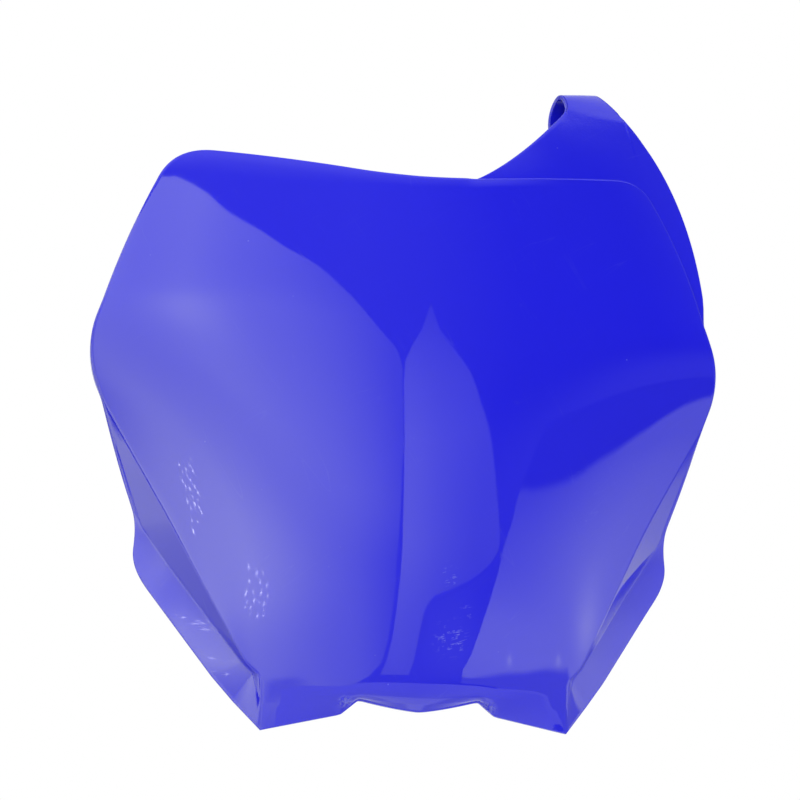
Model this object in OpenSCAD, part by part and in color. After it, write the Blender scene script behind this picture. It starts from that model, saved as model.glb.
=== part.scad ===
// Front number board for an off-road motorcycle, moulded in one piece.
// It is a bowed face with a returned edge, a flared skirt on each lower side,
// two feet under the chin, a fin with a hose hook at one upper corner,
// and two drilled shelves on the back that hold it.
// X is to the viewer's right, Y to the back, Z up. All sizes are in mm.
// The origin is the centre of the bolt hole in the upper shelf.

/* [Board] */
// Half of the width over the two widest corners
half_width = 129; // [120:0.5:137]
// Height of the widest corners above the middle of the face
corner_up = 29; // [22:1:36]
// Half of the width at the two top corners
top_half = 100; // [94:0.5:107]
// Height of the top corners
top_up = 115.5; // [108:0.5:122]
// How far the middle of the top edge dips below its corners
top_dip = 12.3; // [4:0.1:18]
// Wall of the moulding
wall = 2.4; // [1.8:0.1:3.2]

/* [Bow] */
// How far the middle of the face stands forward of the top corners
nose = 19.4; // [15:0.2:23]
// Radius of the face from top to bottom
upright_r = 620; // [500:10:900]
// Radius of the face from side to side, at the top
top_bow_r = 415; // [350:5:500]
// Radius of the face from side to side, at the chin
chin_bow_r = 140; // [126:2:160]

/* [Edge] */
// Depth of the returned edge
lip_depth = 4; // [3:0.2:5]
// How far the returned edge stands out round the face
lip_out = 1; // [0.8:0.1:1.6]

/* [Skirt] */
// How far the skirt's outer corner lies behind the top corners
skirt_back = 24.4; // [20:0.2:28]
// Half of the width over the skirt
skirt_half = 107.4; // [102:0.2:110]
// Height of the skirt's outer corner, below the middle
skirt_down = 55; // [51:0.5:59]

/* [Chin] */
// Half of the distance between the feet's front edges
foot_half = 57.5; // [54:0.5:61]
// How far the feet reach down from the middle of the face
foot_down = 116.5; // [114:0.5:121]
// Height of the notch beside each foot
notch_up = 5.5; // [4:0.5:7]

/* [Fin] */
// How far the fin is stepped back from the face
fin_step = 2.5; // [2.2:0.1:3.5]
// Height at which the fin turns into the hook
fin_up = 149; // [144:0.5:153]
// Gap between the two leaves of the hook
hook_gap = 9; // [7:0.2:10]
// Height of the hook's arch over its bend
hook_rise = 12; // [8:0.5:13]
// Length of the hook's back leaf below the bend
hook_leaf = 11; // [6:0.5:14]

/* [Shelves] */
// Diameter of the bolt hole in the upper shelf
bolt_d = 6.6; // [5.4:0.1:8.4]
// Diameter of the pin hole in the lower shelf
pin_d = 9; // [7:0.5:10]
// Thickness of both shelves
shelf_t = 4; // [3:0.5:5]
// Height of the upper shelf above the middle of the face
upper_up = 60; // [54:1:66]
// Height of the lower shelf, below the middle of the face
lower_down = 62; // [56:1:66]
// Distance of the bolt hole behind the top corners
bolt_back = 14; // [8:1:20]
// Distance of the pin hole behind the top corners
pin_back = 18; // [14:1:22]

/* [Hidden] */

// Straight runs and soft turns between points; the end point starts the next one.
function run(a, b, n) = [for (i = [0 : n - 1]) a + (b - a) * i / n];
function turn(a, c, b, n) = [for (i = [0 : n - 1])
    let (t = i / n) a * (1 - t) * (1 - t) + c * 2 * t * (1 - t) + b * t * t];
function soft(t) = let (s = max(0, min(1, t))) s * s * (3 - 2 * s);

// Depth of the face at a place in the front view.
bow_lo = 1 / chin_bow_r;
bow_hi = 1 / top_bow_r;
function bow(z) = bow_hi + (bow_lo - bow_hi) * soft((50 - z) / 120);
function face_y(x, z) = -nose + (z - 11) * (z - 11) / (2 * upright_r) + bow(z) * x * x / 2;
function on_face(p, back = 0) = [p[0], face_y(p[0], p[1]) + back, p[1]];

// Outline of the face in the front view, from the middle of the top edge
// down one side to the middle of the chin.
top_mid = [0, top_up - top_dip];
top_c = [top_half, top_up];
wide_c = [half_width, corner_up];
split = [half_width - 7.6, 8];
crease_b = [94.6, -37];
crease_c = [84.8, -skirt_down];
crease_d = [64, -92];
chin_a = [59.4, -96.6];
chin_b = [foot_half + 0.4, -97.8];
chin_c = [30, -104];
chin_d = [23, -104.4];
chin_m = [0, -104.4];
top_in = top_c + [-17, -2.4];
top_out = top_c + [5.4, -16];
step_in = top_c + [-12, -1];
step_c = top_c + [-0.6, 0.4];
step_out = top_c + [3.6, -9.6];
fin_a = [25, top_mid[1] + 1.7];
fin_b = [123, 47];
wide_in = wide_c + [-4.2, 12.4];
wide_out = wide_c + [-4.2, -12.6];

// On the finned side the corner is tighter and the side fuller.
function face_edge(fin) = concat(
    turn(top_mid, [14, top_mid[1] + 0.2], fin_a, 4),
    run(fin_a, fin ? step_in : top_in, 9),
    turn(fin ? step_in : top_in, fin ? step_c : top_c, fin ? step_out : top_out, 7),
    turn(fin ? step_out : top_out, fin ? [117, 78.5] : [115.8, 74.4], fin_b, 9),
    run(fin_b, wide_in, 1),
    turn(wide_in, wide_c, wide_out, 5),
    run(wide_out, split, 2),
    run(split, crease_b, 6),
    run(crease_b, crease_c, 7),
    run(crease_c, crease_d, 5),
    run(crease_d, chin_a, 2),
    run(chin_a, chin_b, 1),
    turn(chin_b, [45, -102.2], chin_c, 4),
    run(chin_c, chin_d, 2),
    run(chin_d, chin_m, 4),
    [chin_m]);
edge = face_edge(false);
last = len(edge) - 1;

// Each point of the outer rings is x, y, z, then how far the inner skin is set
// inwards there, then how far it is set back.
function away(p) = let (d = [p[0], p[1] - 10]) d / norm(d);
function rim(p, out, back, in, drop) = let (q = p + away(p) * out)
    [q[0], face_y(p[0], p[1]) + back, q[1], in, drop];
function sub(list, a, b) = [for (i = [a : b - 1]) list[i]];
function lip_a(list) = [for (p = list) rim(p, lip_out * 0.75, lip_depth * 0.2, wall, wall * 0.8)];
function lip_b(list) = [for (p = list) rim(p, lip_out, lip_depth, wall, 0)];
function step_a(list) = [for (p = list) rim(p, 0.5, fin_step, wall * 0.9, wall)];
function fin_pt(p) = [p[0], face_y(p[0], p[1]) + fin_step, p[1], 0, wall];
function lift(list) = [for (p = list) fin_pt(p)];

fin_tip_l = [67.4, fin_up - 0.4];
fin_tip_r = [97.8, fin_up + 1.1];
fin_edge = concat(
    turn(fin_a + [0.1, 1.6], [44, top_up + 3], fin_tip_l, 9),
    run(fin_tip_l, fin_tip_r, 7),
    turn(fin_tip_r, [half_width - 3.4, 113.6], [half_width - 4, 51], 9));

// Corners of the skirt and the feet: x, y, z, inset, set-back.
skirt_y = skirt_back;
fold_a = [104.6, skirt_y - 1.4, -38.5, 0, wall];
fold_b = [92.6, skirt_y - 3.2, -skirt_down, 0, wall];
fold_c = [65.2, 7, -91.6, 0, wall];
fold_d = [60.6, 5, -96.6, 0, wall];
waist = [skirt_half - 1.2, skirt_y - 2, -37.5, 0, wall];
flare = [skirt_half, skirt_y, -skirt_down, 0, wall];
waist_in = waist + [2.4, -1, 6, 0, 0];
flare_in = flare + [-0.1, -0.6, 7, 0, 0];
flare_out = flare + [-7.1, -1.9, -8.8, 0, 0];
hem_c = [75.6, 13.4, -96.4, 0, wall];
hem_d = [67.5, 10.4, -105.8, 0, wall];
foot = [foot_half, 5, -foot_down, 0, wall];
notch_out = [28.8, -0.4, notch_up - foot_down - 0.1, 0, wall];
notch_in = [22.4, -1.4, 2 * notch_up - foot_down - 0.5, 0, wall];
nose_low = [0, -2.6, 1.3 * notch_up - foot_down - 0.8, 0, wall];

n_fin = 4;
n_wide = 29;
n_split = 37;
rim_split = rim(split, lip_out, lip_depth * 0.5, wall * 0.6, wall * 0.4);
flank = rim_split * 0.45 + waist_in * 0.55 + [1, 0, -0.3, 0, 0];

// Middle ring: the returned edge, the step of the fin, the fold of the skirt.
function middle(fin) = concat(
    lip_a(sub(edge, 0, n_fin)),
    fin ? step_a(sub(face_edge(true), n_fin, n_wide)) : lip_a(sub(edge, n_fin, n_wide)),
    lip_a(sub(edge, n_wide, n_split)),
    run(rim(split, lip_out * 0.75, 0.6, wall * 0.6, wall), fold_a, 6),
    run(fold_a, fold_b, 7),
    run(fold_b, fold_c, 5),
    run(fold_c, fold_d, 2),
    run(fold_d, (on5(chin_b) + foot) / 2, 1),
    [for (i = [n_split + 21 : last]) (on5(edge[i]) + outer_low[i - n_split - 21]) / 2]);
function on5(p) = [p[0], face_y(p[0], p[1]), p[1], 0, wall];

// Outer ring below the foot's front edge.
outer_low = concat(
    run(foot, notch_out, 4),
    run(notch_out, notch_in, 2),
    turn(notch_in, [8, -2.2, notch_in[2] - 3.5, 0, wall], nose_low, 4),
    [nose_low]);

// Outer ring: the free edge of the whole board.
function outer(fin) = concat(
    lip_b(sub(edge, 0, n_fin)),
    fin ? lift(fin_edge) : lip_b(sub(edge, n_fin, n_wide)),
    lip_b(sub(edge, n_wide, n_split)),
    turn(rim_split, flank, waist_in, 5),
    turn(waist_in, waist, flare_in, 4),
    turn(flare_in, flare, flare_out, 4),
    run(flare_out, hem_c, 5),
    run(hem_c, hem_d, 2),
    run(hem_d, foot, 1),
    outer_low);

// Both sides together, the finned one first, as closed rings.
function flip(p) = [-p[0], p[1], p[2], p[3], p[4]];
function whole(right, left) = concat(right, [for (i = [last - 1 : -1 : 1]) flip(left[i])]);
function face_rim(fin) = [for (p = face_edge(fin)) on5(p)];
ring_0 = whole(face_rim(true), face_rim(false));
ring_m = whole(middle(true), middle(false));
ring_o = whole(outer(true), outer(false));
count = len(ring_0);

// Inset of the inner skin under the face's own edge.
function edge_in(i) = [ring_0[i][0], ring_0[i][1], ring_0[i][2], ring_m[i][3], wall];
steps = [0.14, 0.28, 0.42, 0.56, 0.69, 0.8, 0.89, 0.955];
middle_z = 5;
function shrink(p, t) = let (x = p[0] * t, z = middle_z + (p[2] - middle_z) * t)
    [x, face_y(x, z), z, 0, wall];
rings = concat(
    [for (t = steps) [for (p = ring_0) shrink(p, t)]],
    [[for (i = [0 : count - 1]) edge_in(i)]],
    [ring_m],
    [for (s = [0.34, 0.67]) [for (i = [0 : count - 1]) ring_m[i] * (1 - s) + ring_o[i] * s]],
    [ring_o]);
depth = len(rings);
function front(p) = [p[0], p[1], p[2]];
function back(p) = let (a = away([p[0], p[2]])) [p[0] - a[0] * p[3], p[1] + p[4], p[2] - a[1] * p[3]];
skin = concat(
    [for (r = rings) for (p = r) front(p)],
    [for (r = rings) for (p = r) back(p)],
    [[0, face_y(0, middle_z), middle_z], [0, face_y(0, middle_z) + wall, middle_z]]);
half_n = depth * count;
function nx(j) = (j + 1) % count;
tris = concat(
    [for (j = [0 : count - 1]) [2 * half_n, j, nx(j)]],
    [for (j = [0 : count - 1]) [2 * half_n + 1, half_n + nx(j), half_n + j]],
    [for (i = [0 : depth - 2]) for (j = [0 : count - 1]) each [
        [i * count + j, (i + 1) * count + j, (i + 1) * count + nx(j)],
        [i * count + j, (i + 1) * count + nx(j), i * count + nx(j)],
        [half_n + i * count + j, half_n + (i + 1) * count + nx(j), half_n + (i + 1) * count + j],
        [half_n + i * count + j, half_n + i * count + nx(j), half_n + (i + 1) * count + nx(j)]]],
    [for (j = [0 : count - 1]) let (a = (depth - 1) * count) each [
        [a + j, half_n + a + j, half_n + a + nx(j)],
        [a + j, half_n + a + nx(j), a + nx(j)]]]);

module shell() polyhedron(points = skin, faces = tris, convexity = 6);

// Hook: the fin's sheet goes up, arches over to the back and comes down again.
hook_t = wall - 0.4;
hook_r = (hook_gap + hook_t) / 2;
lean = 0.22;
function hook_left(a) = 68.4 + 1.2 * sin(a) - 5.2 * soft(a / 180);
function hook_right(a) = 97.4 - 11 * (a < 90 ? sin(a) : 1) - 3 * soft((a - 90) / 90);
function hook_row(x, dy, z, ny, nz) = let (y = face_y(x, fin_up) + fin_step + wall / 2 + lean * (z - fin_up) + dy)
    [x, y, z, ny * hook_t / 2, nz * hook_t / 2];
function hook_line(side) = concat(
    [hook_row(side < 0 ? 63.6 : 100.4, 0, fin_up - 9, -1, 0)],
    [for (a = [0 : 15 : 180]) let (
        n = norm([hook_rise * cos(a), hook_r * sin(a)]),
        x = side < 0 ? hook_left(a) : hook_right(a))
        hook_row(x, hook_r * (1 - cos(a)), fin_up + (side < 0 ? hook_rise * sin(a)
            : 1.5 + (hook_rise + 4.5) * sin(a)),
            -hook_rise * cos(a) / n, hook_r * sin(a) / n)],
    [hook_row(side < 0 ? 62.6 : 82, 2 * hook_r, fin_up - hook_leaf, 1, 0)]);
hook_pts = let (l = hook_line(-1), r = hook_line(1)) [for (i = [0 : len(l) - 1]) each [
    [l[i][0], l[i][1] + l[i][3], l[i][2] + l[i][4]],
    [r[i][0], r[i][1] + r[i][3], r[i][2] + r[i][4]],
    [r[i][0], r[i][1] - r[i][3], r[i][2] - r[i][4]],
    [l[i][0], l[i][1] - l[i][3], l[i][2] - l[i][4]]]];
hook_n = len(hook_pts) / 4;
hook_faces = concat(
    [[0, 1, 2, 3]],
    [for (i = [0 : hook_n - 2]) for (k = [0 : 3]) let (a = 4 * i + k, b = 4 * i + (k + 1) % 4)
        each [[a, a + 4, b + 4], [a, b + 4, b]]],
    [[4 * hook_n - 1, 4 * hook_n - 2, 4 * hook_n - 3, 4 * hook_n - 4]]);

module hook() polyhedron(points = hook_pts, faces = hook_faces, convexity = 4);

// Shelf: a flat tongue from the back of the face, with a rounded, drilled end
// and two ribs underneath that stiffen it.
module shelf(z, y_end, d, root_w, end_r, rib_x, rib_h) {
    root_y = face_y(root_w / 2, z) + 0.7;
    rib_y = face_y(rib_x, z) + wall / 2;
    rib_y_low = face_y(rib_x, z - rib_h) + wall / 2;
    difference() {
        union() {
            hull() {
                translate([-root_w / 2, root_y, z - shelf_t / 2]) cube([root_w, 1, shelf_t]);
                translate([0, y_end, z - shelf_t / 2]) cylinder(r = end_r, h = shelf_t, $fn = 48);
            }
            for (s = [-1, 1]) translate([s * rib_x - 1.2, 0, z])
                rotate([90, 0, 90]) linear_extrude(2.4)
                    polygon([[rib_y_low, -rib_h], [rib_y, 0.4 - shelf_t / 2],
                        [y_end - end_r, 0.4 - shelf_t / 2], [y_end - end_r - 3, -shelf_t / 2 - 1.5]]);
        }
        translate([0, y_end, z - 10]) cylinder(d = d, h = 20, $fn = 48);
    }
}

module number_board() color([0.1, 0.1, 0.8])
    translate([0, -bolt_back, -upper_up]) union() {
        shell();
        hook();
        shelf(upper_up, bolt_back, bolt_d, 40, 10, 11, 20);
        shelf(-lower_down, pin_back, pin_d, 30, 10, 9, 16);
    }

number_board();
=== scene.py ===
import math

import bmesh
import bpy
import numpy as np
from mathutils import Matrix, Vector


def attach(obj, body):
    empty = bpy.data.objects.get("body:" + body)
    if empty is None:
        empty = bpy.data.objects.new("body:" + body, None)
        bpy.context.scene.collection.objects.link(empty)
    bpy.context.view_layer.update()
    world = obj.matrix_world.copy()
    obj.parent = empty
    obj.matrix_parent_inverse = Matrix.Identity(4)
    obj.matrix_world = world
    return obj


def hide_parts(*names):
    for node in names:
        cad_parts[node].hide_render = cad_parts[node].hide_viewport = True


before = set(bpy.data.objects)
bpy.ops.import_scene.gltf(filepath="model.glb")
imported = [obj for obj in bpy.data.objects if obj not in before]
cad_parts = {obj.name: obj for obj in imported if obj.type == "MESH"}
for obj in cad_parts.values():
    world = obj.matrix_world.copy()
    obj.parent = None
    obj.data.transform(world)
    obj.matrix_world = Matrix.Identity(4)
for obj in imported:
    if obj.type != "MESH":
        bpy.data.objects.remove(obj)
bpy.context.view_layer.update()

# Sizes in mm, in plate coordinates: x across, y to the back, z up. The line between the top corners is at
# y = 0, and the face's middle is near z = 0.
HALF_W = 129.0      # middle to the widest corner
CORNER_UP = 29.0    # height of the widest corner
TOP_HALF = 100.0    # middle to the top corner
TOP_UP = 115.5      # height of the top corner
TOP_DIP = 12.3      # how far the top edge dips in the middle
WALL = 2.4          # thickness of the moulding
NOSE = 19.4         # how far the face's middle stands in front of the top corners
UPRIGHT_R = 620.0   # bow from top to bottom
TOP_BOW = 415.0     # bow from side to side at the top
CHIN_BOW = 140.0    # the same at the chin
LIP_DEPTH = 4.0     # depth of the returned edge
LIP_OUT = 1.0       # how far the returned edge spreads
SKIRT_BACK = 24.4   # how far back the skirt's flare reaches
SKIRT_HALF = 107.4  # middle to the flare
SKIRT_DOWN = 55.0   # how far down the flare is
FOOT_HALF = 57.5    # middle to a foot's tip
FOOT_DOWN = 116.5   # how far down the tip is
NOTCH = 5.5         # one step of the notch beside a foot
FIN_STEP = 2.5      # how far the fin lies behind the face
FIN_UP = 149.0      # height at which the fin starts to roll over
HOOK_LEFT = 68.4    # where the hook starts across the board
HOOK_W = 29.0       # width of the hook's foot
HOOK_GAP = 9.0      # clear width inside the hook
HOOK_RISE = 12.0    # how far the hook rises over the fin
HOOK_LEAF = 11.0    # how far its back leaf hangs down
UPPER_UP = 60.0     # height of the upper shelf
LOWER_DOWN = 62.0   # how far down the lower shelf is
BOLT_BACK = 14.0    # how far back the bolt's hole is
PIN_BACK = 18.0     # how far back the pin's hole is
SHELF_T = 4.0       # thickness of a shelf


def arr(*v):
    """A point or a vector."""
    return np.array(v, float)


def soft(t):
    """0 below 0, 1 above 1, and a soft step between."""
    s = np.clip(t, 0.0, 1.0)
    return s * s * (3 - 2 * s)


def bow(z):
    """How strongly the face bends across at a height."""
    return 1 / TOP_BOW + (1 / CHIN_BOW - 1 / TOP_BOW) * soft((50 - z) / 120)


def face_y(x, z):
    """Front of the face."""
    return -NOSE + (z - 11) ** 2 / (2 * UPRIGHT_R) + bow(z) * x * x / 2


def run(a, b, n):
    """A straight part of an outline, n columns long."""
    return n, lambda t: a + (b - a) * t


def turn(a, c, b, n):
    """A round part from a to b round the corner c."""
    return n, lambda t: a * (1 - t) ** 2 + c * 2 * t * (1 - t) + b * t * t


def along(parts, u):
    """The point at u, where each part is as long as its own count."""
    for n, f in parts:
        if u <= n:
            return f(u / n)
        u -= n
    return parts[-1][1](1.0)


# Outline of the face, from the middle of the top edge to the middle of the chin.
top_mid = arr(0, TOP_UP - TOP_DIP)
top_c = arr(TOP_HALF, TOP_UP)
wide_c = arr(HALF_W, CORNER_UP)
split = arr(HALF_W - 7.6, 8)
crease_b, crease_c, crease_d = arr(94.6, -37), arr(84.8, -SKIRT_DOWN), arr(64, -92)
chin_a, chin_b, chin_c = arr(59.4, -96.6), arr(FOOT_HALF + 0.4, -97.8), arr(30, -104)
chin_d, chin_m = arr(23, -104.4), arr(0, -104.4)
top_in, top_out = top_c + arr(-17, -2.4), top_c + arr(5.4, -16)
step_in, step_c, step_out = top_c + arr(-12, -1), top_c + arr(-0.6, 0.4), top_c + arr(3.6, -9.6)
fin_a, fin_b = arr(25, top_mid[1] + 1.7), arr(123, 47)
wide_in, wide_out = wide_c + arr(-4.2, 12.4), wide_c + arr(-4.2, -12.6)


def face_edge(into, corner, out, side):
    """The face's outline on one side: the top corner, the side that bulges towards a point, the crease."""
    return [
        turn(top_mid, arr(14, top_mid[1] + 0.2), fin_a, 4), run(fin_a, into, 9), turn(into, corner, out, 7),
        turn(out, side, fin_b, 9), run(fin_b, wide_in, 1), turn(wide_in, wide_c, wide_out, 5),
        run(wide_out, split, 2), run(split, crease_b, 6), run(crease_b, crease_c, 7),
        run(crease_c, crease_d, 5), run(crease_d, chin_a, 2), run(chin_a, chin_b, 1),
        turn(chin_b, arr(45, -102.2), chin_c, 4),
        run(chin_c, chin_d, 2), run(chin_d, chin_m, 4)]


# On the finned side the corner is tighter and the side fuller.
EDGE = {True: face_edge(step_in, step_c, step_out, arr(117, 78.5)),
        False: face_edge(top_in, top_c, top_out, arr(115.8, 74.4))}
# Counts along the outline: its end, the fin's start, the hook's sides, the fin's end, skirt and chin.
LAST, N_FIN, N_HOOK_L, N_HOOK_R, N_WIDE, N_SPLIT, N_CHIN = 68, 4, 13, 20, 29, 37, 58


def away(x, z):
    """Outwards across the face."""
    d = arr(x, z - 10)
    return d / max(np.linalg.norm(d), 1e-9)


def rim(p, out, back, inset, drop):
    """A ring point beside the outline, with how far the inner skin lies inwards and behind."""
    q = p + away(p[0], p[1]) * out
    return arr(q[0], face_y(p[0], p[1]) + back, q[1], inset, drop)


def on_face(p):
    """A ring point on the face itself."""
    return arr(p[0], face_y(p[0], p[1]), p[1], 0, WALL)


fin_tip_l, fin_tip_r = arr(67.4, FIN_UP - 0.4), arr(97.8, FIN_UP - 0.1)
FIN_EDGE = [turn(fin_a + arr(0.1, 1.6), arr(44, TOP_UP + 3), fin_tip_l, N_HOOK_L - N_FIN),
            run(fin_tip_l, fin_tip_r, N_HOOK_R - N_HOOK_L),
            turn(fin_tip_r, arr(HALF_W - 3.4, 113.6), arr(HALF_W - 4, 51), N_WIDE - N_HOOK_R)]
fold_a = arr(104.6, SKIRT_BACK - 1.4, -38.5, 0, WALL)
fold_b = arr(92.6, SKIRT_BACK - 3.2, -SKIRT_DOWN, 0, WALL)
fold_c, fold_d = arr(65.2, 7, -91.6, 0, WALL), arr(60.6, 5, -96.6, 0, WALL)
waist = arr(SKIRT_HALF - 1.2, SKIRT_BACK - 2, -37.5, 0, WALL)
flare = arr(SKIRT_HALF, SKIRT_BACK, -SKIRT_DOWN, 0, WALL)
waist_in, flare_in = waist + arr(2.4, -1, 6, 0, 0), flare + arr(-0.1, -0.6, 7, 0, 0)
flare_out = flare + arr(-7.1, -1.9, -8.8, 0, 0)
hem_c, hem_d = arr(75.6, 13.4, -96.4, 0, WALL), arr(67.5, 10.4, -105.8, 0, WALL)
foot = arr(FOOT_HALF, 5, -FOOT_DOWN, 0, WALL)
notch_out = arr(28.8, -0.4, NOTCH - FOOT_DOWN - 0.1, 0, WALL)
notch_in = arr(22.4, -1.4, 2 * NOTCH - FOOT_DOWN - 0.5, 0, WALL)
nose_low = arr(0, -2.6, 1.3 * NOTCH - FOOT_DOWN - 0.8, 0, WALL)
rim_split = rim(split, LIP_OUT, LIP_DEPTH * 0.5, WALL * 0.6, WALL * 0.4)
mid_split = rim(split, LIP_OUT * 0.75, 0.6, WALL * 0.6, WALL)
OUT_LOW = [run(foot, notch_out, 4), run(notch_out, notch_in, 2),
           turn(notch_in, arr(8, -2.2, notch_in[2] - 3.5, 0, WALL), nose_low, 4)]
flank = rim_split * 0.45 + waist_in * 0.55 + arr(1, 0, -0.3, 0, 0)
OUT_SIDE = [turn(rim_split, flank, waist_in, 5), turn(waist_in, waist, flare_in, 4),
            turn(flare_in, flare, flare_out, 4), run(flare_out, hem_c, 5), run(hem_c, hem_d, 2),
            run(hem_d, foot, 1)]
MID_SIDE = [run(mid_split, fold_a, 6), run(fold_a, fold_b, 7), run(fold_b, fold_c, 5), run(fold_c, fold_d, 2),
            run(fold_d, (on_face(chin_b) + foot) / 2, 1)]


def fin_part(u, fin):
    """How much of the fin there is at u."""
    return soft(u - N_FIN + 1) * soft(N_WIDE - u) if fin else 0


def fold_at(u, fin):
    """The ring outside the outline: the returned edge, the fin's step, the skirt's valley."""
    p = along(EDGE[fin], u)
    lip = rim(p, LIP_OUT * 0.75, LIP_DEPTH * 0.2, WALL, WALL * 0.8)
    if u <= N_SPLIT - 1:
        w = fin_part(u, fin)
        return lip * (1 - w) + rim(p, 0.5, FIN_STEP, WALL * 0.9, WALL) * w
    if u < N_SPLIT:
        w = u - N_SPLIT + 1
        return lip * (1 - w) + mid_split * w
    if u < N_CHIN:
        return along(MID_SIDE, u - N_SPLIT)
    return (on_face(p) + along(OUT_LOW, u - N_CHIN)) / 2


def free_at(u, fin):
    """The free edge."""
    p = along(EDGE[fin], u)
    lip = rim(p, LIP_OUT, LIP_DEPTH, WALL, 0)
    if u <= N_SPLIT - 1:
        w = fin_part(u, fin)
        if not w:
            return lip
        q = along(FIN_EDGE, min(max(u - N_FIN, 0), N_WIDE - N_FIN))
        return lip * (1 - w) + arr(q[0], face_y(q[0], q[1]) + FIN_STEP, q[1], 0, WALL) * w
    if u < N_SPLIT:
        w = u - N_SPLIT + 1
        return lip * (1 - w) + rim_split * w
    if u < N_CHIN:
        return along(OUT_SIDE, u - N_SPLIT)
    return along(OUT_LOW, u - N_CHIN)


# Columns run round the whole board: the finned half first, then the plain half back up.
def half_columns():
    """Where the columns of one half lie, closer together at the hook, the skirt and the foot."""
    us = []
    for i in range(LAST):
        m = 4
        if N_HOOK_L <= i < N_HOOK_R:
            m = 6
        if 41 <= i < 50 or 54 <= i < 60 or 60 <= i < 65:
            m = 5
        us += [i + k / m for k in range(m)]
    return us


right_us = half_columns()
left_us = [LAST] + right_us[:0:-1]
columns = [(u, True) for u in right_us] + [(u, False) for u in left_us]


def smooth_ring(ring, sigma):
    """Rounds a closed ring's corners along its own length."""
    d = np.linalg.norm(np.roll(ring[:, :3], -1, 0) - ring[:, :3], axis=1)
    s = np.concatenate([[0], np.cumsum(d)[:-1]])
    total = d.sum()
    w = (d + np.roll(d, 1)) / 2
    gap = np.abs(s[:, None] - s[None, :])
    gap = np.minimum(gap, total - gap)
    k = np.exp(-gap ** 2 / (2 * np.asarray(sigma)[:, None] ** 2)) * (w[None, :] + 1e-9)
    k /= k.sum(1, keepdims=True)
    return k @ ring


def by_u(points, u):
    """A value along the outline, through pairs of a place and a value."""
    return np.interp(u, [p[0] for p in points], [p[1] for p in points])


col_u = np.array([c[0] for c in columns])
finned = np.array([c[1] for c in columns])
COUNT = len(columns)


def make_ring(point_at, softness):
    """A closed ring, mirrored on the plain half; softness is in mm for each stretch of the outline."""
    ring = np.array([point_at(u, fin) for u, fin in columns])
    ring[~finned, 0] *= -1
    return smooth_ring(ring, by_u(softness, col_u))


# The three rings that carry the shape: the face's outline, the fold outside it and the free edge.
face_ring = make_ring(lambda u, fin: on_face(along(EDGE[fin], u)), [
    (0, 1.5), (36, 1.5), (43, 2.0), (54, 1.4), (56, 0.7), (59, 0.7), (61, 2.0), (68, 2.0)])
fold_ring = make_ring(fold_at, [(0, 1.2), (36, 1.2), (43, 1.6), (54, 1.0), (56, 0.6), (59, 0.7), (61, 1.5),
                                (68, 1.5)])
free_ring = make_ring(free_at, [(0, 1.2), (12, 1.2), (13, 0.6), (20, 0.6), (22, 1.2), (36, 1.6), (54, 1.3),
                                (56, 0.9), (57.3, 0.8), (57.7, 0.45), (58.3, 0.45), (59, 0.8), (61, 0.8),
                                (68, 0.9)])
# The skirt bends evenly below the waist, and its valley lies a little further forward on the finned side.
even = by_u([(0, 0.01), (38, 0.01), (42, 9), (50, 9), (54, 0.01), (68, 0.01)], col_u)
for ring in (fold_ring, free_ring):
    ring[:, 1] = smooth_ring(ring, even)[:, 1]
fold_ring[finned, 1] -= by_u([(0, 0), (42, 0), (48, 0.7), (54, 0.8), (59, 0), (68, 0)], col_u[finned])
# The fin's right edge runs on into the hook.
top_right = finned & (col_u >= N_HOOK_R) & (col_u < 27)
free_ring[top_right, 0] -= np.exp(-((FIN_UP - free_ring[top_right, 2]) / 7) ** 2)
hook_cols = [j for j in range(COUNT) if finned[j] and N_HOOK_L - 1e-9 <= col_u[j] <= N_HOOK_R + 1e-9]
hook_x = free_ring[hook_cols[0], 0]
inner_cols = hook_cols[:-1]
free_ring[inner_cols, 0] = hook_x + (free_ring[inner_cols, 0] - hook_x) * (HOOK_W - 1) / HOOK_W
j0, j1 = hook_cols[0], hook_cols[-1]

# The hook: its front surface over x and over s, the length along the sheet above the bend.
HOOK_T = WALL - 0.4
HOOK_R = (HOOK_GAP + HOOK_T) / 2
LEAN = 0.22         # how much the hook leans back as it rises
ARCH = 28.0         # length of the sheet over the hook's arch
SIDE_RISE = 1.5     # how much higher the fin is on its right


def sheet(x, s):
    """Front surface of the fin and the hook: x across, s up the sheet."""
    v = (x - HOOK_LEFT) / HOOK_W
    if s <= FIN_UP:
        z = s + SIDE_RISE * v * soft((s - FIN_UP + 12) / 12)
        return arr(x, face_y(x, s) + FIN_STEP + 0.2 * soft((s - FIN_UP + 9) / 9), z)
    a = min((s - FIN_UP) / ARCH, 1.0) * math.pi
    quarter = math.pi / 2
    left = HOOK_LEFT + 1.2 * math.sin(a) - 5.2 * soft(a / math.pi)
    right = HOOK_LEFT + HOOK_W - 11 * math.sin(min(a, quarter)) - 3 * soft((a - quarter) / quarter)
    z_left = FIN_UP + HOOK_RISE * math.sin(a)
    z_right = FIN_UP + SIDE_RISE + (HOOK_RISE + 4.35) * math.sin(a)
    leaf = max(s - FIN_UP - ARCH, 0.0) / HOOK_LEAF
    left, right = left - 0.6 * leaf, right - 1.4 * leaf
    z_left, z_right = z_left - HOOK_LEAF * leaf, z_right - (HOOK_LEAF + 1.5) * leaf
    n = math.hypot(HOOK_RISE * math.cos(a), HOOK_R * math.sin(a))
    ny, nz = -HOOK_RISE * math.cos(a) / n, HOOK_R * math.sin(a) / n
    z = z_left + (z_right - z_left) * v
    y = face_y(x, FIN_UP) + FIN_STEP + WALL / 2 + LEAN * (z - FIN_UP) + HOOK_R * (1 - math.cos(a))
    return arr(left + (right - left) * v, y + ny * HOOK_T / 2, z + nz * HOOK_T / 2)


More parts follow.
